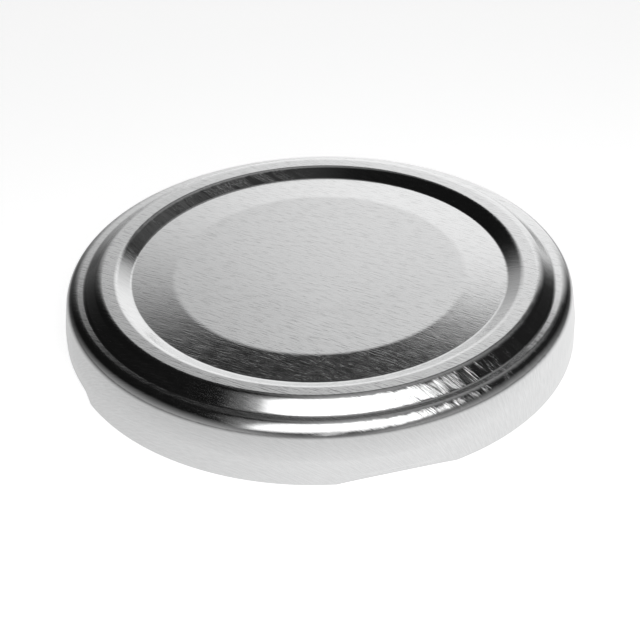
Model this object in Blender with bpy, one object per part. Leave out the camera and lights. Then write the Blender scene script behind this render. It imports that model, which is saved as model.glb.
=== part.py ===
"""Twist-off lid for a glass jar with a 63 mm mouth.

One disc of tinplate is drawn into a stepped panel with a short skirt. The edge of
the skirt is rolled inwards into a curl, and the curl is pressed in at four places
to make the lugs that ride under the thread of the jar. A ring of sealing compound
lies in the channel above the rim of the jar.

The lid stands on its curl. The origin is under its centre, Z is up, and lengths
are in metres.
"""

import math

import bmesh
import bpy

MM = 0.001

# The lid as a whole, outside
SKIRT_RADIUS = 33.0 * MM
LID_HEIGHT = 9.68 * MM
SHEET = 0.18 * MM

# Drawn steps of the top as runs along the radius, from the skirt inwards
FLARE_RUN = 0.54 * MM
LEDGE_RUN = 2.28 * MM
SHOULDER_RUN = 1.78 * MM
CREST_RUN = 2.37 * MM
WALL_RUN = 1.83 * MM
ANNULUS_RUN = 5.45 * MM

# The same steps as heights
FLARE_DROP = 4.56 * MM
LEDGE_DROP = 0.16 * MM
SHOULDER_DROP = 1.35 * MM
PANEL_DEPTH = 0.95 * MM
DISC_RISE = 0.30 * MM

# Outside radii of the bends between the steps
DISC_BEND = 12.0 * MM
PANEL_BEND = 0.7 * MM
CREST_INNER_BEND = 1.5 * MM
CREST_OUTER_BEND = 1.9 * MM
LEDGE_BEND = 0.6 * MM
SHOULDER_BEND = 1.8 * MM
SKIRT_BEND = 6.0 * MM

# Curl at the foot of the skirt, a roll that stops short of closing on itself
CURL_RADIUS = 0.65 * MM
CURL_TURN = math.radians(300.0)

# Lugs, where the curl is pressed flat and pushed in along a straight chord
LUG_COUNT = 4
FIRST_LUG_ANGLE = math.radians(15.7)
LUG_ANGLE = math.radians(26.4)
LUG_PUSH = 0.75 * MM
LUG_LIFT = 0.13 * MM
LUG_DEPTH = 2.20 * MM
LUG_THICKNESS = 1.00 * MM
LUG_TOP = 2.0 * MM

# Sealing compound in the channel under the crest
SEAL_GAP = 0.3 * MM
SEAL_LEVEL = 0.95 * MM
SEAL_SETBACK = 1.0 * MM
SEAL_EDGE = 0.25 * MM

# Fineness of the facets
BEND_FACET = math.radians(20.0)
CURL_FACETS = 10
PRESS_FACETS = 4
LUG_FACETS = 6
SPAN_FACETS = 10


def step_corners():
    """Sharp corners of the outer surface, axis to skirt, each with its bend radius."""
    shoulder = SKIRT_RADIUS - FLARE_RUN
    ledge = shoulder - LEDGE_RUN
    crest_outer = ledge - SHOULDER_RUN
    crest_inner = crest_outer - CREST_RUN
    panel = crest_inner - WALL_RUN
    disc = panel - ANNULUS_RUN

    panel_height = LID_HEIGHT - PANEL_DEPTH
    ledge_height = LID_HEIGHT - SHOULDER_DROP
    shoulder_height = ledge_height - LEDGE_DROP
    skirt_height = shoulder_height - FLARE_DROP
    return [
        (0.0, panel_height + DISC_RISE, 0.0),
        (disc, panel_height + DISC_RISE, DISC_BEND),
        (panel, panel_height, PANEL_BEND),
        (crest_inner, LID_HEIGHT, CREST_INNER_BEND),
        (crest_outer, LID_HEIGHT, CREST_OUTER_BEND),
        (ledge, ledge_height, LEDGE_BEND),
        (shoulder, shoulder_height, SHOULDER_BEND),
        (SKIRT_RADIUS, skirt_height, SKIRT_BEND),
        (SKIRT_RADIUS, LUG_TOP, 0.0),
    ]


def bend_reaches(corners, headings):
    """Length that each bend takes from the straights beside it, limited by them."""
    reaches = [0.0]
    for i in range(1, len(corners) - 1):
        turn = abs(headings[i] - headings[i - 1])
        reaches.append(corners[i][2] * math.tan(turn / 2.0))
    reaches.append(0.0)
    for i in range(len(headings)):
        run = corners[i + 1][0] - corners[i][0]
        rise = corners[i + 1][1] - corners[i][1]
        room = 0.98 * math.hypot(run, rise)
        wanted = reaches[i] + reaches[i + 1]
        if wanted > room:
            reaches[i] *= room / wanted
            reaches[i + 1] *= room / wanted
    return reaches


def stepped_surface():
    """Outer surface from the axis down to the top of the lugs, as (r, z, heading)."""
    corners = step_corners()
    headings = []
    for near, far in zip(corners, corners[1:]):
        headings.append(math.atan2(far[1] - near[1], far[0] - near[0]))
    reaches = bend_reaches(corners, headings)

    path = [(corners[0][0], corners[0][1], headings[0])]
    for i in range(1, len(corners) - 1):
        before = headings[i - 1]
        turn = headings[i] - before
        facets = max(1, math.ceil(abs(turn) / BEND_FACET))
        radius = reaches[i] / math.tan(abs(turn) / 2.0)
        r = corners[i][0] - reaches[i] * math.cos(before)
        z = corners[i][1] - reaches[i] * math.sin(before)
        path.append((r, z, before))
        chord = 2.0 * radius * math.sin(abs(turn) / facets / 2.0)
        for k in range(facets):
            along = before + turn * (k + 0.5) / facets
            r += chord * math.cos(along)
            z += chord * math.sin(along)
            path.append((r, z, before + turn * (k + 1) / facets))
    return path


def pressed_skirt(press):
    """Foot of the skirt, leaning in where a lug is pressed, as (r, z, heading)."""
    foot = curl_middle(press)[1]
    drop = LUG_TOP - foot
    path = []
    for k in range(PRESS_FACETS):
        along = k / PRESS_FACETS
        lean = press * LUG_PUSH * along * along * (3.0 - 2.0 * along)
        slope = press * LUG_PUSH * 6.0 * along * (1.0 - along)
        heading = math.atan2(-drop, -slope)
        path.append((SKIRT_RADIUS - lean, LUG_TOP - along * drop, heading))
    return path


def curl_size(press):
    """Half depth and half height of the curl, round when free and flat at a lug."""
    half_depth = CURL_RADIUS + press * (LUG_DEPTH / 2.0 - CURL_RADIUS)
    half_height = CURL_RADIUS + press * (LUG_THICKNESS / 2.0 - CURL_RADIUS)
    return half_depth, half_height


def curl_middle(press):
    """Centre of the curl's section."""
    half_depth, half_height = curl_size(press)
    return SKIRT_RADIUS - press * LUG_PUSH - half_depth, half_height + press * LUG_LIFT


def rolled_curl(press):
    """Outer surface of the curl from the foot of the skirt inwards, as (r, z, heading)."""
    half_depth, half_height = curl_size(press)
    middle_r, middle_z = curl_middle(press)
    path = []
    for k in range(CURL_FACETS + 1):
        turned = CURL_TURN * k / CURL_FACETS
        r = middle_r + half_depth * math.cos(turned)
        z = middle_z - half_height * math.sin(turned)
        heading = math.atan2(-half_height * math.cos(turned), -half_depth * math.sin(turned))
        path.append((r, z, heading))
    return path


def set_in(path, distance):
    """The same path moved to the inner side of the sheet, as (r, z)."""
    moved = []
    for r, z, heading in path:
        inner_r = r + distance * math.sin(heading)
        inner_z = z - distance * math.cos(heading)
        moved.append((max(inner_r, 0.0) if r > 0.0 else 0.0, inner_z))
    return moved


def lug_press(angle):
    """How far the curl is pressed at this angle, 1 in the middle of a lug, 0 beside it."""
    pitch = 2.0 * math.pi / LUG_COUNT
    off = (angle - FIRST_LUG_ANGLE + pitch / 2.0) % pitch - pitch / 2.0
    half = LUG_ANGLE / 2.0
    if abs(off) >= half:
        return 0.0
    return (1.0 - math.cos(half) / math.cos(off)) / (1.0 - math.cos(half))


def shell_section(angle):
    """Closed section of the sheet at this angle, out along the top and back beneath."""
    press = lug_press(angle)
    path = stepped_surface() + pressed_skirt(press) + rolled_curl(press)
    outer = [(r, z) for r, z, heading in path]
    return outer + set_in(path, SHEET)[::-1]


def crossing(a, b, index, value):
    """Point of the line a to b where its coordinate at index has this value."""
    share = (value - a[index]) / (b[index] - a[index])
    return (a[0] + share * (b[0] - a[0]), a[1] + share * (b[1] - a[1]))


def seal_section(angle):
    """Closed section of the compound, fitted under the crest with a flat lower face."""
    corners = step_corners()
    inner = corners[2][0] + SEAL_SETBACK
    level = LID_HEIGHT - SHEET - SEAL_GAP - SEAL_LEVEL
    roof = set_in(stepped_surface(), SHEET + SEAL_GAP)

    top = []
    for a, b in zip(roof, roof[1:]):
        if a[0] < inner <= b[0]:
            top.append(crossing(a, b, 0, inner))
        if b[0] > inner and a[1] > level >= b[1]:
            top.append(crossing(a, b, 1, level + SEAL_EDGE))
            break
        if b[0] > inner:
            top.append(b)
    outer = crossing(a, b, 1, level)[0]
    return top + [(outer - SEAL_EDGE, level), (inner + SEAL_EDGE, level), (inner, level + SEAL_EDGE)]


def facet_angles():
    """Angles of the facets round the lid, with one at each edge of each lug."""
    pitch = 2.0 * math.pi / LUG_COUNT
    angles = []
    for lug in range(LUG_COUNT):
        start = FIRST_LUG_ANGLE + lug * pitch - LUG_ANGLE / 2.0
        for k in range(LUG_FACETS):
            angles.append(start + LUG_ANGLE * k / LUG_FACETS)
        for k in range(SPAN_FACETS):
            angles.append(start + LUG_ANGLE + (pitch - LUG_ANGLE) * k / SPAN_FACETS)
    return angles


def turned_solid(name, section_at, material):
    """One solid from a closed section that may change as it goes round the axis."""
    solid = bmesh.new()
    poles = {}
    rows = []
    for angle in facet_angles():
        row = []
        for r, z in section_at(angle):
            if r == 0.0 and z in poles:
                row.append(poles[z])
                continue
            row.append(solid.verts.new((r * math.cos(angle), r * math.sin(angle), z)))
            if r == 0.0:
                poles[z] = row[-1]
        rows.append(row)
    for row, following in zip(rows, rows[1:] + rows[:1]):
        for i in range(len(row)):
            around = [row[i - 1], row[i], following[i], following[i - 1]]
            face = list(dict.fromkeys(around))
            if len(face) > 2:
                solid.faces.new(face)
    bmesh.ops.recalc_face_normals(solid, faces=solid.faces)

    mesh = bpy.data.meshes.new(name)
    solid.to_mesh(mesh)
    solid.free()
    mesh.shade_smooth()
    mesh.set_sharp_from_angle(angle=math.radians(35.0))
    mesh.materials.append(material)
    part = bpy.data.objects.new(name, mesh)
    bpy.context.scene.collection.objects.link(part)
    return part


def surface(name, color, roughness, metallic):
    """A plain material of one colour."""
    material = bpy.data.materials.new(name)
    material.use_nodes = True
    shader = material.node_tree.nodes["Principled BSDF"]
    shader.inputs["Base Color"].default_value = (*color, 1.0)
    shader.inputs["Roughness"].default_value = roughness
    shader.inputs["Metallic"].default_value = metallic
    return material


def main():
    for old in list(bpy.data.objects):
        bpy.data.objects.remove(old, do_unlink=True)
    tinplate = surface("tinplate", (0.80, 0.80, 0.79), 0.22, 1.0)
    compound = surface("compound", (0.74, 0.72, 0.66), 0.50, 0.0)
    turned_solid("lid_shell", shell_section, tinplate)
    turned_solid("sealing_ring", seal_section, compound)


main()
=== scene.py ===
"""Looks of the twist-off jar lid: bright tinplate on a pale table in a small studio."""

import math

import bpy
import numpy as np
from mathutils import Matrix, Vector


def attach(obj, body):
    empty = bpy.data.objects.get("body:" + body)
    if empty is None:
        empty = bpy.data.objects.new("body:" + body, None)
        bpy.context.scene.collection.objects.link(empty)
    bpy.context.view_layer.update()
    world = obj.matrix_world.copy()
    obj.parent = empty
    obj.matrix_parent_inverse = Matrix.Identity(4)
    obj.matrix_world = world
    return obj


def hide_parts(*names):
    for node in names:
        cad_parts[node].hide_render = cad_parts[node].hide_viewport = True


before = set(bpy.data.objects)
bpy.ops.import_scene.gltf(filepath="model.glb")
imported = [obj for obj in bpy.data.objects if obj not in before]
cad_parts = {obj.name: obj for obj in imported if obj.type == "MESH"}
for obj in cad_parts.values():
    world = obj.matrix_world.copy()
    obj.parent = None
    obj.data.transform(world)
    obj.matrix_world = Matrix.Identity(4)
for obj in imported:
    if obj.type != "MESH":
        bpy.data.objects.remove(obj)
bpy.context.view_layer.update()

MM = 0.001

# Outside of the lid, the same as the CAD model's but for LEDGE_BEND, which is 0.6 mm there
SKIRT_RADIUS = 33.0 * MM
LID_HEIGHT = 9.68 * MM
SHEET = 0.18 * MM
FLARE_RUN = 0.54 * MM
LEDGE_RUN = 2.28 * MM
SHOULDER_RUN = 1.78 * MM
CREST_RUN = 2.37 * MM
WALL_RUN = 1.83 * MM
ANNULUS_RUN = 5.45 * MM
FLARE_DROP = 4.56 * MM
LEDGE_DROP = 0.16 * MM
SHOULDER_DROP = 1.35 * MM
PANEL_DEPTH = 0.95 * MM
DISC_RISE = 0.30 * MM
DISC_BEND = 12.0 * MM
PANEL_BEND = 0.7 * MM
CREST_INNER_BEND = 1.5 * MM
CREST_OUTER_BEND = 1.9 * MM
LEDGE_BEND = 0.9 * MM
SHOULDER_BEND = 1.8 * MM
SKIRT_BEND = 6.0 * MM
CURL_RADIUS = 0.65 * MM
CURL_TURN = math.radians(300.0)
LUG_COUNT = 4
FIRST_LUG_ANGLE = math.radians(15.7)
LUG_ANGLE = math.radians(26.4)
LUG_PUSH = 0.75 * MM
LUG_LIFT = 0.13 * MM
LUG_DEPTH = 2.20 * MM
LUG_THICKNESS = 1.00 * MM
LUG_TOP = 2.0 * MM

# Compound: its lower face is where the CAD ring has it, and its roof close to the sheet
SEAL_GAP = 0.3 * MM
SEAL_LEVEL = 0.95 * MM
SEAL_SETBACK = 1.0 * MM
SEAL_CLEARANCE = 0.02 * MM
SEAL_ROOF_END = 0.15 * MM
SEAL_OVERHANG = 0.1 * MM
SEAL_EDGE = 0.28 * MM
SEAL_HOLLOW = 0.05 * MM

# Fineness of the mesh
BEND_FACET = math.radians(5.0)
CURL_FACETS = 36
PRESS_FACETS = 12
LUG_FACETS = 24
SPAN_FACETS = 58
RING_FACETS = 240
SEAL_EDGE_FACETS = 8
SEAL_FACE_FACETS = 12

# Skins of the sheet: its two sides, and the cut edge at the end of the curl
OUTSIDE, INSIDE, CUT = 0, 1, 2

# Direction in which the sheet was rolled, in the plan
GRAIN_ANGLE = math.radians(-30.0)

# Direction in the plan towards which, and away from which, the slopes show ridges
RIDGE_ANGLE = math.radians(-55.0)

# How far the inside's grain is moved in the noise, so that it isn't the outside's
INSIDE_SHIFT = 50.0 * MM

# Heights of the fine relief
GRAIN_HEIGHT = 0.0046 * MM
SWELL_HEIGHT = 0.002 * MM
RIDGE_HEIGHT = 0.042 * MM
FLOW_HEIGHT = 0.02 * MM

# The photograph's camera
VIEW_ELEVATION = math.radians(32.70)
VIEW_DISTANCE = 253.05 * MM
AIM_HEIGHT = 8.82 * MM
VIEW_ROLL = math.radians(1.57)
FOCAL_PIXELS = 1964.4
FRAME_PIXELS = 640.0
SENSOR_MM = 36.0
CENTRE_PIXEL = (319.05, 272.35)

# Soft box over the front of the lid
BOX_HEIGHT = 110.0 * MM
BOX_SIDE = 350.0 * MM
BOX_FRONT = -600.0 * MM
BOX_BACK = 120.0 * MM

# Table: half its width, how far it lies below the lid, and the painted pool of light that the metal sees
# on it
TABLE_REACH = 1200.0 * MM
TABLE_SINK = 0.02 * MM
PATCH_RADIUS = 38.0 * MM
PATCH_FADE = 28.0 * MM

# Light levels, where 1 is white
BOX_STRENGTH = 3.0
TABLE_IN_METAL = 0.98
TABLE_UNDER_LID = 0.85
TABLE_GLOW = 0.80
WHITE = (1.0, 1.0, 1.0, 1.0)


def step_corners():
    """Sharp corners of the outer surface, axis to skirt, each with its bend radius."""
    shoulder = SKIRT_RADIUS - FLARE_RUN
    ledge = shoulder - LEDGE_RUN
    crest_outer = ledge - SHOULDER_RUN
    crest_inner = crest_outer - CREST_RUN
    panel = crest_inner - WALL_RUN
    disc = panel - ANNULUS_RUN

    panel_height = LID_HEIGHT - PANEL_DEPTH
    ledge_height = LID_HEIGHT - SHOULDER_DROP
    shoulder_height = ledge_height - LEDGE_DROP
    skirt_height = shoulder_height - FLARE_DROP
    return [
        (0.0, panel_height + DISC_RISE, 0.0),
        (disc, panel_height + DISC_RISE, DISC_BEND),
        (panel, panel_height, PANEL_BEND),
        (crest_inner, LID_HEIGHT, CREST_INNER_BEND),
        (crest_outer, LID_HEIGHT, CREST_OUTER_BEND),
        (ledge, ledge_height, LEDGE_BEND),
        (shoulder, shoulder_height, SHOULDER_BEND),
        (SKIRT_RADIUS, skirt_height, SKIRT_BEND),
        (SKIRT_RADIUS, LUG_TOP, 0.0),
    ]


def bend_reaches(corners, headings):
    """Length that each bend takes from the straights beside it, limited by them."""
    reaches = [0.0]
    for i in range(1, len(corners) - 1):
        turn = abs(headings[i] - headings[i - 1])
        reaches.append(corners[i][2] * math.tan(turn / 2.0))
    reaches.append(0.0)
    for i in range(len(headings)):
        run = corners[i + 1][0] - corners[i][0]
        rise = corners[i + 1][1] - corners[i][1]
        room = 0.98 * math.hypot(run, rise)
        wanted = reaches[i] + reaches[i + 1]
        if wanted > room:
            reaches[i] *= room / wanted
            reaches[i + 1] *= room / wanted
    return reaches


def stepped_surface():
    """Outer surface from the axis down to the top of the lugs, as (r, z, heading)."""
    corners = step_corners()
    headings = []
    for near, far in zip(corners, corners[1:]):
        headings.append(math.atan2(far[1] - near[1], far[0] - near[0]))
    reaches = bend_reaches(corners, headings)

    path = [(corners[0][0], corners[0][1], headings[0])]
    for i in range(1, len(corners) - 1):
        before = headings[i - 1]
        turn = headings[i] - before
        facets = max(2, math.ceil(abs(turn) / BEND_FACET))
        radius = reaches[i] / math.tan(abs(turn) / 2.0)
        r = corners[i][0] - reaches[i] * math.cos(before)
        z = corners[i][1] - reaches[i] * math.sin(before)
        path.append((r, z, before))
        chord = 2.0 * radius * math.sin(abs(turn) / facets / 2.0)
        for k in range(facets):
            along = before + turn * (k + 0.5) / facets
            r += chord * math.cos(along)
            z += chord * math.sin(along)
            path.append((r, z, before + turn * (k + 1) / facets))
    return path


def curl_size(press):
    """Half depth and half height of the curl, round when free and flat at a lug."""
    half_depth = CURL_RADIUS + press * (LUG_DEPTH / 2.0 - CURL_RADIUS)
    half_height = CURL_RADIUS + press * (LUG_THICKNESS / 2.0 - CURL_RADIUS)
    return half_depth, half_height


def curl_middle(press):
    """Centre of the curl's section."""
    half_depth, half_height = curl_size(press)
    return SKIRT_RADIUS - press * LUG_PUSH - half_depth, half_height + press * LUG_LIFT


def pressed_skirt(press):
    """Foot of the skirt, leaning in where a lug is pressed, as (r, z, heading)."""
    foot = curl_middle(press)[1]
    drop = LUG_TOP - foot
    path = []
    for k in range(PRESS_FACETS):
        along = k / PRESS_FACETS
        lean = press * LUG_PUSH * along * along * (3.0 - 2.0 * along)
        slope = press * LUG_PUSH * 6.0 * along * (1.0 - along)
        heading = math.atan2(-drop, -slope)
        path.append((SKIRT_RADIUS - lean, LUG_TOP - along * drop, heading))
    return path


def rolled_curl(press):
    """Outer surface of the curl from the foot of the skirt inwards, as (r, z, heading)."""
    half_depth, half_height = curl_size(press)
    middle_r, middle_z = curl_middle(press)
    path = []
    for k in range(CURL_FACETS + 1):
        turned = CURL_TURN * k / CURL_FACETS
        r = middle_r + half_depth * math.cos(turned)
        z = middle_z - half_height * math.sin(turned)
        heading = math.atan2(-half_height * math.cos(turned), -half_depth * math.sin(turned))
        path.append((r, z, heading))
    return path


def lug_press(angle):
    """How far the curl is pressed at this angle, 1 in the middle of a lug, 0 beside it."""
    pitch = 2.0 * math.pi / LUG_COUNT
    off = (angle - FIRST_LUG_ANGLE + pitch / 2.0) % pitch - pitch / 2.0
    half = LUG_ANGLE / 2.0
    if abs(off) >= half:
        return 0.0
    return (1.0 - math.cos(half) / math.cos(off)) / (1.0 - math.cos(half))


def facet_angles():
    """Angles of the facets round the lid, with one at each edge of each lug."""
    pitch = 2.0 * math.pi / LUG_COUNT
    angles = []
    for lug in range(LUG_COUNT):
        start = FIRST_LUG_ANGLE + lug * pitch - LUG_ANGLE / 2.0
        for k in range(LUG_FACETS):
            angles.append(start + LUG_ANGLE * k / LUG_FACETS)
        for k in range(SPAN_FACETS):
            angles.append(start + LUG_ANGLE + (pitch - LUG_ANGLE) * k / SPAN_FACETS)
    return angles


def place(obj, node):
    """Links a finished piece, which rides on the one body and stands for its CAD node."""
    bpy.context.scene.collection.objects.link(obj)
    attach(obj, "root")
    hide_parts(node)


def add_vectors(mesh, name, values):
    """Stores one vector for each point of the mesh."""
    layer = mesh.attributes.new(name, "FLOAT_VECTOR", "POINT")
    layer.data.foreach_set("vector", np.asarray(values, np.float32).ravel())


def polar(r, turn, z):
    """Points from their radius, angle and height."""
    return np.stack([r * np.cos(turn), r * np.sin(turn), z], axis=-1)


def sheet_surface(angles):
    """Radius, height and heading of the outer surface, with a row for each angle."""
    steps = stepped_surface()
    rows = []
    for angle in angles:
        press = lug_press(angle)
        rows.append(steps + pressed_skirt(press) + rolled_curl(press))
    rows = np.array(rows)
    return rows[..., 0], rows[..., 1], rows[..., 2]


def blank_points(r, z, turn):
    """Place of each point on the flat blank, as far out as the surface is long to there."""
    run = np.hypot(np.diff(r, axis=1), np.diff(z, axis=1))
    flat = np.concatenate([np.zeros((len(r), 1)), np.cumsum(run, axis=1)], axis=1)
    return polar(flat, turn, 0.0 * flat)


def sheet_directions(outer, heading, turn):
    """True normal of each point of the outer skin, and the direction across its grain."""
    down = polar(np.cos(heading), turn, np.sin(heading))
    still = np.zeros_like(heading)
    level = np.stack([still - np.sin(turn), still + np.cos(turn), still], axis=-1)

    about = np.roll(outer, -1, axis=0) - np.roll(outer, 1, axis=0)
    about[:, 0] = level[:, 0]
    normal = np.cross(down, about)
    normal /= np.linalg.norm(normal, axis=-1, keepdims=True)

    off_grain = (turn - GRAIN_ANGLE)[..., None]
    return normal, np.sin(off_grain) * down + np.cos(off_grain) * level


def sheet_faces(around, count):
    """Faces of the closed sheet, and the skin that each belongs to.

    A row of points goes out on the outer skin, count of them, and then again on the
    inner one. All rows share their point on the axis, one for each skin.
    """
    rows = 2 * count
    index = np.arange(around * rows).reshape(around, rows)
    index[:, 0] = index[0, 0]
    index[:, count] = index[0, count]
    faces, skins = [], []
    for j in range(around):
        a, b = index[j], index[(j + 1) % around]
        for i in range(count - 1):
            m = count + i
            faces.append(list(dict.fromkeys([a[i], a[i + 1], b[i + 1], b[i]])))
            faces.append(list(dict.fromkeys([a[m + 1], a[m], b[m], b[m + 1]])))
            skins += [OUTSIDE, INSIDE]
        faces.append([a[count - 1], a[rows - 1], b[rows - 1], b[count - 1]])
        skins.append(CUT)
    return faces, skins


def set_normals(mesh, normals, skins):
    """Gives both sides their true normals, and the cut edge its flat ones."""
    corner_vertex = np.empty(len(mesh.loops), np.int32)
    mesh.loops.foreach_get("vertex_index", corner_vertex)
    corner_normal = normals[corner_vertex]
    for polygon, skin in zip(mesh.polygons, skins):
        if skin == CUT:
            corner_normal[list(polygon.loop_indices)] = polygon.normal
    mesh.normals_split_custom_set(corner_normal.tolist())


def drawn_lid(outside, inside):
    """The sheet, with true normals and the place that each point had on the flat blank."""
    angles = facet_angles()
    turn = np.array(angles)[:, None]
    r, z, heading = sheet_surface(angles)
    outer = polar(r, turn, z)
    inner = polar(np.maximum(r + SHEET * np.sin(heading), 0.0), turn, z - SHEET * np.cos(heading))
    inner[:, 0] = (0.0, 0.0, z[0, 0] - SHEET)
    blank = blank_points(r, z, turn)
    normal, tangent = sheet_directions(outer, heading, turn)

    faces, skins = sheet_faces(*r.shape)
    used, corners = np.unique(np.concatenate(faces), return_inverse=True)
    ends = np.cumsum([len(face) for face in faces])[:-1]

    def both(outer_values, inner_values):
        return np.concatenate([outer_values, inner_values], axis=1).reshape(-1, 3)[used]

    mesh = bpy.data.meshes.new("drawn_lid")
    points = both(outer, inner).tolist()
    mesh.from_pydata(points, [], [face.tolist() for face in np.split(corners.ravel(), ends)])
    mesh.materials.append(outside)
    mesh.materials.append(inside)
    mesh.polygons.foreach_set("material_index", [0 if skin == OUTSIDE else 1 for skin in skins])
    mesh.shade_smooth()
    add_vectors(mesh, "blank", both(blank, blank + (0.0, 0.0, INSIDE_SHIFT)))
    add_vectors(mesh, "tangent", both(tangent, tangent))
    set_normals(mesh, both(normal, -normal), skins)
    place(bpy.data.objects.new("drawn_lid", mesh), "lid_shell")


def compound_section():
    """Closed section of the compound: roof outwards, then the soft lower face back."""
    inner = step_corners()[2][0] + SEAL_SETBACK
    level = LID_HEIGHT - SHEET - SEAL_GAP - SEAL_LEVEL
    reach = SHEET + SEAL_CLEARANCE
    roof = []
    for r, z, heading in stepped_surface():
        roof.append((r + reach * math.sin(heading), z - reach * math.cos(heading)))
    section = [p for p in roof if inner <= p[0] and p[1] > level + SEAL_ROOF_END]
    outer = section[-1][0] + SEAL_OVERHANG

    quarter = [math.pi / 2.0 * k / SEAL_EDGE_FACETS for k in range(SEAL_EDGE_FACETS + 1)]
    for a in quarter:
        section.append((outer - SEAL_EDGE * (1.0 - math.cos(a)), level + SEAL_EDGE * (1.0 - math.sin(a))))
    for k in range(1, SEAL_FACE_FACETS):
        share = k / SEAL_FACE_FACETS
        r = outer - SEAL_EDGE + share * (inner - outer + 2.0 * SEAL_EDGE)
        section.append((r, level + SEAL_HOLLOW * math.sin(math.pi * share)))
    for a in quarter:
        section.append((inner + SEAL_EDGE * (1.0 - math.sin(a)), level + SEAL_EDGE * (1.0 - math.cos(a))))
    return section


def compound_ring(material):
    """Compound flowed into the channel: it fills the roof and has a soft lower face."""
    section = compound_section()
    count = len(section)
    points, faces = [], []
    for j in range(RING_FACETS):
        a = 2.0 * math.pi * j / RING_FACETS
        points += [(r * math.cos(a), r * math.sin(a), z) for r, z in section]
        here, following = j * count, (j + 1) % RING_FACETS * count
        for i in range(count):
            k = (i + 1) % count
            faces.append((here + i, here + k, following + k, following + i))
    mesh = bpy.data.meshes.new("compound_bead")
    mesh.from_pydata(points, [], faces)
    mesh.materials.append(material)
    mesh.shade_smooth()
    place(bpy.data.objects.new("compound_bead", mesh), "sealing_ring")


class Graph:
    """Short calls for building a node tree."""

    def __init__(self, tree):
        self.tree = tree
        self.nodes = tree.nodes
        self.nodes.clear()

    def add(self, kind, inputs=None, **settings):
        """A node with its settings, and with its inputs set to values or linked."""
        node = self.nodes.new(kind)
        for key, value in settings.items():
            setattr(node, key, value)
        for key, value in (inputs or {}).items():
            if isinstance(value, bpy.types.NodeSocket):
                self.tree.links.new(value, node.inputs[key])
            else:
                node.inputs[key].default_value = value
        return node

    def math(self, operation, a, b=0.0, c=0.0, clamp=False):
        """Result of one operation on up to three numbers."""
        node = self.add("ShaderNodeMath", {0: a, 1: b, 2: c}, operation=operation, use_clamp=clamp)
        return node.outputs[0]

    def product(self, first, *others):
        """Product of two numbers or more, from left to right."""
        for other in others:
            first = self.math("MULTIPLY", first, other)
        return first

    def ramp(self, value, low, high, start=0.0, end=1.0, kind="SMOOTHSTEP"):
        """Change from start to end as value goes from low to high."""
        ends = {"From Min": low, "From Max": high, "To Min": start, "To Max": end}
        return self.add("ShaderNodeMapRange", {"Value": value, **ends}, interpolation_type=kind).outputs[0]

    def mix(self, share, a, b):
        """Colour that goes from a to b as share goes from 0 to 1."""
        inputs = {"Factor": share, 6: (*a, 1.0), 7: (*b, 1.0)}
        return self.add("ShaderNodeMix", inputs, data_type="RGBA").outputs[2]

    def axes(self, vector):
        """The three numbers of a vector."""
        parts = self.add("ShaderNodeSeparateXYZ", {0: vector}).outputs
        return parts[0], parts[1], parts[2]

    def length(self, vector):
        """Length of a vector."""
        return self.add("ShaderNodeVectorMath", {0: vector}, operation="LENGTH").outputs["Value"]

    def bump(self, height, distance, under=None, strength=1.0):
        """Normal bent by a height, on top of the normal under it if there is one."""
        inputs = {"Height": height, "Strength": strength, "Distance": distance}
        if under is not None:
            inputs["Normal"] = under
        return self.add("ShaderNodeBump", inputs).outputs[0]

    def emission(self, strength):
        """White light of this strength."""
        return self.add("ShaderNodeEmission", {"Color": WHITE, "Strength": strength}).outputs[0]

    def clear(self):
        """Lets everything through."""
        return self.add("ShaderNodeBsdfTransparent", {"Color": WHITE}).outputs[0]

    def surface(self, shader):
        """Makes this shader the material's."""
        self.add("ShaderNodeOutputMaterial", {"Surface": shader})


def new_material(name):
    """A material, and the graph of its empty node tree."""
    material = bpy.data.materials.new(name)
    material.use_nodes = True
    return material, Graph(material.node_tree)


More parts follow.
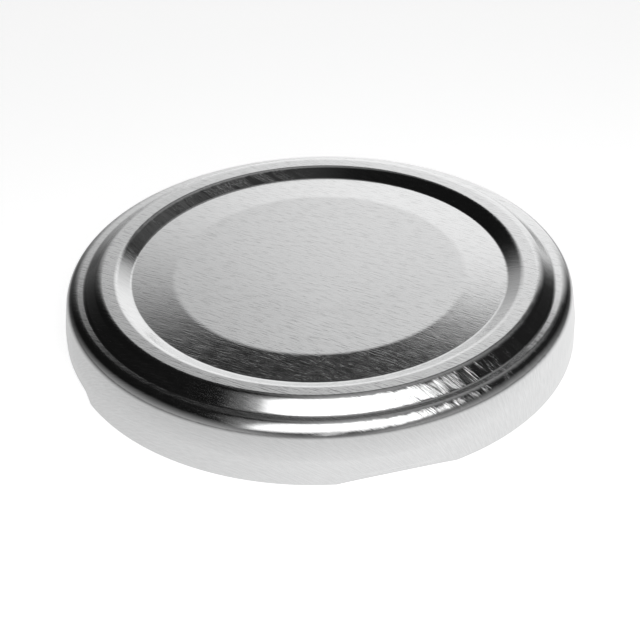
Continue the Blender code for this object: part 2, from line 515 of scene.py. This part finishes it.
def tinplate_material(name, color, roughness):
    """Bright tinplate: a mirror broken by fine streaks along the rolling direction."""
    material, g = new_material(name)
    blank = g.add("ShaderNodeAttribute", attribute_name="blank").outputs["Vector"]
    tangent = g.add("ShaderNodeAttribute", attribute_name="tangent").outputs["Vector"]
    turned = g.add("ShaderNodeMapping", {"Vector": blank, "Rotation": (0.0, 0.0, -GRAIN_ANGLE)})

    def streaks(across, along, detail):
        """Noise that is drawn out along the grain, with its width and length."""
        scale = (1.0 / along, 1.0 / across, 1.0 / across)
        stretched = g.add("ShaderNodeMapping", {"Vector": turned.outputs[0], "Scale": scale})
        inputs = {"Vector": stretched.outputs[0], "Scale": 1.0, "Detail": detail, "Roughness": 0.6}
        return g.add("ShaderNodeTexNoise", inputs).outputs["Fac"]

    # Fine grain, with single scratches in it, stronger in some patches than in others
    grain = streaks(0.21 * MM, 1.8 * MM, 3.0)
    scratches = g.ramp(streaks(0.23 * MM, 2.0 * MM, 2.0), 0.48, 0.74)
    patches = g.ramp(streaks(1.6 * MM, 3.5 * MM, 1.0), 0.35, 0.65, 0.75, 1.1)
    fine = g.product(g.math("MULTIPLY_ADD", scratches, -0.5, grain), patches)

    # Drawing opens the grain into ridges on the slopes that lie towards RIDGE_ANGLE
    facing = g.axes(g.add("ShaderNodeNewGeometry").outputs["Normal"])[2]
    ridge_way = (math.cos(RIDGE_ANGLE), math.sin(RIDGE_ANGLE), 0.0)
    inputs = {0: blank, 1: ridge_way}
    towards = g.add("ShaderNodeVectorMath", inputs, operation="DOT_PRODUCT").outputs["Value"]
    towards = g.math("ABSOLUTE", g.math("DIVIDE", towards, g.math("ADD", g.length(blank), MM)))
    sloping = g.ramp(facing, 0.93, 0.98, 1.0, 0.0)
    drawn = g.product(g.ramp(towards, 0.75, 0.97), sloping, g.ramp(facing, 0.2, 0.5))
    tufts = g.ramp(streaks(1.1 * MM, 4.0 * MM, 0.0), 0.35, 0.6, 0.2, 1.3)
    ridges = g.product(streaks(0.21 * MM, 2.4 * MM, 3.0), g.product(drawn, tufts))
    swell = streaks(1.2 * MM, 9.0 * MM, 2.0)
    normal = g.bump(ridges, RIDGE_HEIGHT, g.bump(swell, SWELL_HEIGHT, g.bump(fine, GRAIN_HEIGHT)))

    # The hollows of the grain are a little darker and smoother, and scratches dark on the flats
    marks = g.product(scratches, g.ramp(facing, 0.85, 0.97))
    shade = g.math("MULTIPLY_ADD", marks, -0.85, g.ramp(grain, 0.3, 0.7, 0.6, 1.0))
    g.surface(g.add("ShaderNodeBsdfPrincipled", {
        "Base Color": g.mix(shade, [0.8 * part for part in color], color),
        "Metallic": 1.0,
        "Roughness": g.ramp(grain, 0.3, 0.75, roughness * 0.8, roughness * 1.35),
        "Anisotropic": 0.5,
        "Tangent": tangent,
        "Normal": normal,
    }).outputs[0])
    return material


def compound_material():
    """Cream sealing compound, satin, with a faint flow texture."""
    material, g = new_material("compound_look")
    where = g.add("ShaderNodeTexCoord").outputs["Object"]
    inputs = {"Vector": where, "Scale": 900.0, "Detail": 3.0}
    flow = g.add("ShaderNodeTexNoise", inputs).outputs["Fac"]
    g.surface(g.add("ShaderNodeBsdfPrincipled", {
        "Base Color": g.mix(flow, (0.70, 0.68, 0.61), (0.78, 0.76, 0.70)),
        "Roughness": g.ramp(flow, 0.3, 0.7, 0.38, 0.55),
        "Normal": g.bump(flow, FLOW_HEIGHT, strength=0.5),
    }).outputs[0])
    return material


def studio():
    """Backdrop, dark room and haze of the studio, by direction.

    East and north are degrees from the zenith in the plan, so a direction on the
    horizon behind the lid is (0, 90), and one on its left is (-90, 0).
    """
    world = bpy.data.worlds.new("studio")
    bpy.context.scene.world = world
    world.use_nodes = True
    g = Graph(world.node_tree)
    x, y, z = g.axes(g.add("ShaderNodeTexCoord").outputs["Generated"])
    tilt = g.product(g.math("ARCCOSINE", z), math.degrees(1.0))
    level = g.math("SQRT", g.math("ADD", g.product(x, x), g.math("MULTIPLY_ADD", y, y, 1e-9)))
    east = g.product(tilt, g.math("DIVIDE", x, level))
    north = g.product(tilt, g.math("DIVIDE", y, level))

    # Bright backdrop behind the lid, dimmer to its left, its right edge further out lower down
    spread = g.math("MAXIMUM", g.product(east, -0.45), g.product(east, 0.1))
    top = g.ramp(north, 50.3, g.math("ADD", spread, 53.5))
    glow = g.math("MULTIPLY_ADD", g.math("MINIMUM", north, 66.0), 0.025, 0.68 - 0.025 * 55.0)
    glow = g.math("MAXIMUM", g.math("MULTIPLY_ADD", east, 0.02, glow), 0.18)
    glow = g.math("MINIMUM", glow, 1.0)
    left = g.ramp(east, -62.0, -10.0)
    beyond = g.math("SUBTRACT", north, 60.0)
    right_start = g.math("MULTIPLY_ADD", beyond, 0.9, 12.0)
    right_end = g.math("MULTIPLY_ADD", beyond, 0.6, 53.0)
    right = g.ramp(east, right_start, right_end, 1.0, 0.0)
    backdrop = g.product(top, glow, g.product(left, right))

    # Dark room, lighter towards the horizon, most of all in front and at the sides
    aside = g.ramp(g.math("ABSOLUTE", x), 0.15, 0.6, 0.0, 0.22)
    aside = g.product(aside, g.ramp(y, 0.0, 0.8, 1.0, 0.0))
    horizon = g.math("ADD", g.ramp(y, -1.0, 0.8, 0.17, 0.03, "LINEAR"), aside)
    reach = g.ramp(y, 0.0, 0.8, 0.72, 0.2, "LINEAR")
    rise = g.math("DIVIDE", g.math("MAXIMUM", z, 0.0), reach)
    low = g.math("SUBTRACT", 1.0, rise, clamp=True)
    room = g.math("MULTIPLY_ADD", horizon, low, g.ramp(east, -40.0, 40.0, 0.006, 0.012))

    # Haze between the soft box and the backdrop
    haze = g.product(g.ramp(north, 12.0, 30.0, 0.025, 0.26), g.ramp(north, 41.0, 49.0, 1.0, 0.0))
    across = g.product(g.ramp(east, -9.0, 2.0), g.ramp(east, 8.0, 40.0, 1.0, 0.0))
    haze = g.product(haze, across, g.ramp(north, -20.0, 0.0))

    # The camera sees white behind the lid, whatever the metal sees
    light = g.math("ADD", backdrop, g.math("ADD", room, haze))
    seen = g.add("ShaderNodeLightPath").outputs["Is Camera Ray"]
    inputs = {"Color": WHITE, "Strength": g.math("MAXIMUM", light, seen)}
    background = g.add("ShaderNodeBackground", inputs)
    g.add("ShaderNodeOutputWorld", {"Surface": background.outputs[0]})


def level_sheet(name, left, front, right, back, height, material):
    """Flat rectangle of the set, at this height."""
    mesh = bpy.data.meshes.new(name)
    corners = [(left, front, 0.0), (right, front, 0.0), (right, back, 0.0), (left, back, 0.0)]
    mesh.from_pydata(corners, [], [(0, 1, 2, 3)])
    mesh.materials.append(material)
    sheet = bpy.data.objects.new(name, mesh)
    sheet.location.z = height
    bpy.context.scene.collection.objects.link(sheet)
    return sheet


def soft_box():
    """Soft box close over the front of the lid, seen in the metal and not by the camera."""
    material, g = new_material("soft_box_cloth")
    x, y = g.axes(g.add("ShaderNodeTexCoord").outputs["Object"])[:2]
    x = g.product(x, 1.0 / MM)
    y = g.product(y, 1.0 / MM)

    # Straight left edge, and a right edge that curves round to meet it at the back
    from_left = g.math("SUBTRACT", x, g.math("MULTIPLY_ADD", y, 0.52, -8.0))
    soft_left = g.ramp(from_left, -35.0, 0.0, 0.0, 0.09, "LINEAR")
    left = g.math("MAXIMUM", g.ramp(from_left, -12.0, 22.0), soft_left)
    curve = g.math("EXPONENT", g.math("DIVIDE", y, 45.0))
    from_right = g.math("SUBTRACT", x, g.math("MULTIPLY_ADD", curve, -120.0, 124.0))
    soft_right = g.ramp(from_right, -10.0, 48.0, 0.12, 0.0, "LINEAR")
    right = g.math("MAXIMUM", g.ramp(from_right, -18.0, 6.0, 1.0, 0.0), soft_right)
    front = g.ramp(y, -235.0, -110.0, 0.0, 0.55, "LINEAR")
    back = g.ramp(y, -50.0, 10.0, 1.0, 0.0)
    cloth = g.math("MINIMUM", g.math("MINIMUM", left, right), g.math("MINIMUM", front, back))

    # Haze between the box and the backdrop
    haze = g.product(g.ramp(x, -16.0, 2.0), g.ramp(x, 6.0, 51.0, 1.0, 0.0))
    haze = g.product(haze, g.ramp(y, -20.0, 28.0, 0.22, 0.0, "LINEAR"))
    glow = g.emission(g.product(g.math("MAXIMUM", cloth, haze), BOX_STRENGTH))
    g.surface(g.add("ShaderNodeAddShader", {0: glow, 1: g.clear()}).outputs[0])

    box = level_sheet("soft_box", -BOX_SIDE, BOX_FRONT, BOX_SIDE, BOX_BACK, BOX_HEIGHT, material)
    box.visible_camera = False
    box.visible_shadow = False


def table_top():
    """White table: it takes the lid's soft shadow and is white round it."""
    material, g = new_material("table_paper")
    path = g.add("ShaderNodeLightPath").outputs
    where = g.add("ShaderNodeTexCoord").outputs["Object"]
    x, y = g.axes(where)[:2]

    # In the metal the table glows with a painted pool of light: bright near the lid and behind it, falling
    # off elsewhere
    away = g.length(where)
    near = g.math("EXPONENT", g.math("DIVIDE", g.math("SUBTRACT", PATCH_RADIUS, away), PATCH_FADE))
    bearing = g.math("ARCTAN2", x, y)
    far = g.ramp(g.math("ABSOLUTE", bearing), math.radians(30), math.pi, 0.06, 0.25, "LINEAR")
    tilted = g.math("MULTIPLY_ADD", x, 4.0, 0.68)
    around = g.math("MULTIPLY_ADD", g.math("MINIMUM", near, 0.95), tilted, far)
    behind = g.product(g.ramp(bearing, math.radians(-38), math.radians(-12)),
                       g.ramp(bearing, math.radians(28), math.radians(48), 1.0, 0.0))
    lit = g.math("MINIMUM", g.math("MAXIMUM", around, behind), 1.0)

    # Under the lid, where only its inside mirrors it, the table's painted light is even
    under_lid = g.ramp(away, 29.0 * MM, 32.0 * MM, 1.0, 0.0)
    lit = g.math("MULTIPLY_ADD", under_lid, g.math("SUBTRACT", TABLE_UNDER_LID, lit), lit)
    mirrored = g.emission(g.product(lit, TABLE_IN_METAL))

    # Seen directly it is paper that takes the shadow, with a glow that keeps it white
    direct = g.math("MAXIMUM", path["Is Camera Ray"], path["Is Transmission Ray"])
    paper = g.add("ShaderNodeBsdfDiffuse", {"Color": (0.8, 0.8, 0.8, 1.0)})
    glow = g.emission(g.product(direct, TABLE_GLOW))
    seen = g.add("ShaderNodeAddShader", {0: paper.outputs[0], 1: glow})
    inputs = {0: path["Is Glossy Ray"], 1: seen.outputs[0], 2: mirrored}
    above = g.add("ShaderNodeMixShader", inputs)

    # From below the table is clear, so that the inside of the lid can be seen
    below = g.product(path["Is Camera Ray"], g.add("ShaderNodeNewGeometry").outputs["Backfacing"])
    g.surface(g.add("ShaderNodeMixShader", {0: below, 1: above.outputs[0], 2: g.clear()}).outputs[0])

    reach = TABLE_REACH
    table = level_sheet("table_top", -reach, -reach, reach, reach, -TABLE_SINK, material)


def photo_camera():
    """Camera at the photograph's view of the middle of the panel."""
    data = bpy.data.cameras.new("photo_camera")
    data.sensor_width = SENSOR_MM
    data.lens = FOCAL_PIXELS / FRAME_PIXELS * SENSOR_MM
    data.clip_start = 0.01
    data.clip_end = 10.0
    camera = bpy.data.objects.new("photo_camera", data)
    bpy.context.scene.collection.objects.link(camera)
    bpy.context.scene.camera = camera

    # Level view of the aim, rolled, and then swung until the aim is at CENTRE_PIXEL
    aim = Vector((0.0, 0.0, AIM_HEIGHT))
    forward = Vector((0.0, math.cos(VIEW_ELEVATION), -math.sin(VIEW_ELEVATION)))
    right = Vector((1.0, 0.0, 0.0))
    up = right.cross(forward)
    level = Matrix((right, up, forward))
    roll = Matrix.Rotation(VIEW_ROLL, 3, "Z")
    half = FRAME_PIXELS / 2.0
    off_x = (CENTRE_PIXEL[0] - half) / FOCAL_PIXELS
    off_y = (half - CENTRE_PIXEL[1]) / FOCAL_PIXELS
    seen = Vector((off_x, off_y, 1.0)).normalized()
    swing = seen.rotation_difference(Vector((0.0, 0.0, 1.0))).to_matrix()
    axes = swing.transposed() @ roll @ level
    turned = Matrix((axes[0], axes[1], -axes[2])).transposed()
    camera.matrix_world = Matrix.Translation(aim - forward * VIEW_DISTANCE) @ turned.to_4x4()


outside_tin = tinplate_material("tinplate_look", (0.845, 0.848, 0.85), 0.12)
inside_tin = tinplate_material("lacquered_inside", (0.82, 0.80, 0.74), 0.2)
drawn_lid(outside_tin, inside_tin)
compound_ring(compound_material())
studio()
soft_box()
table_top()
photo_camera()
bpy.context.scene.view_settings.view_transform = "Standard"
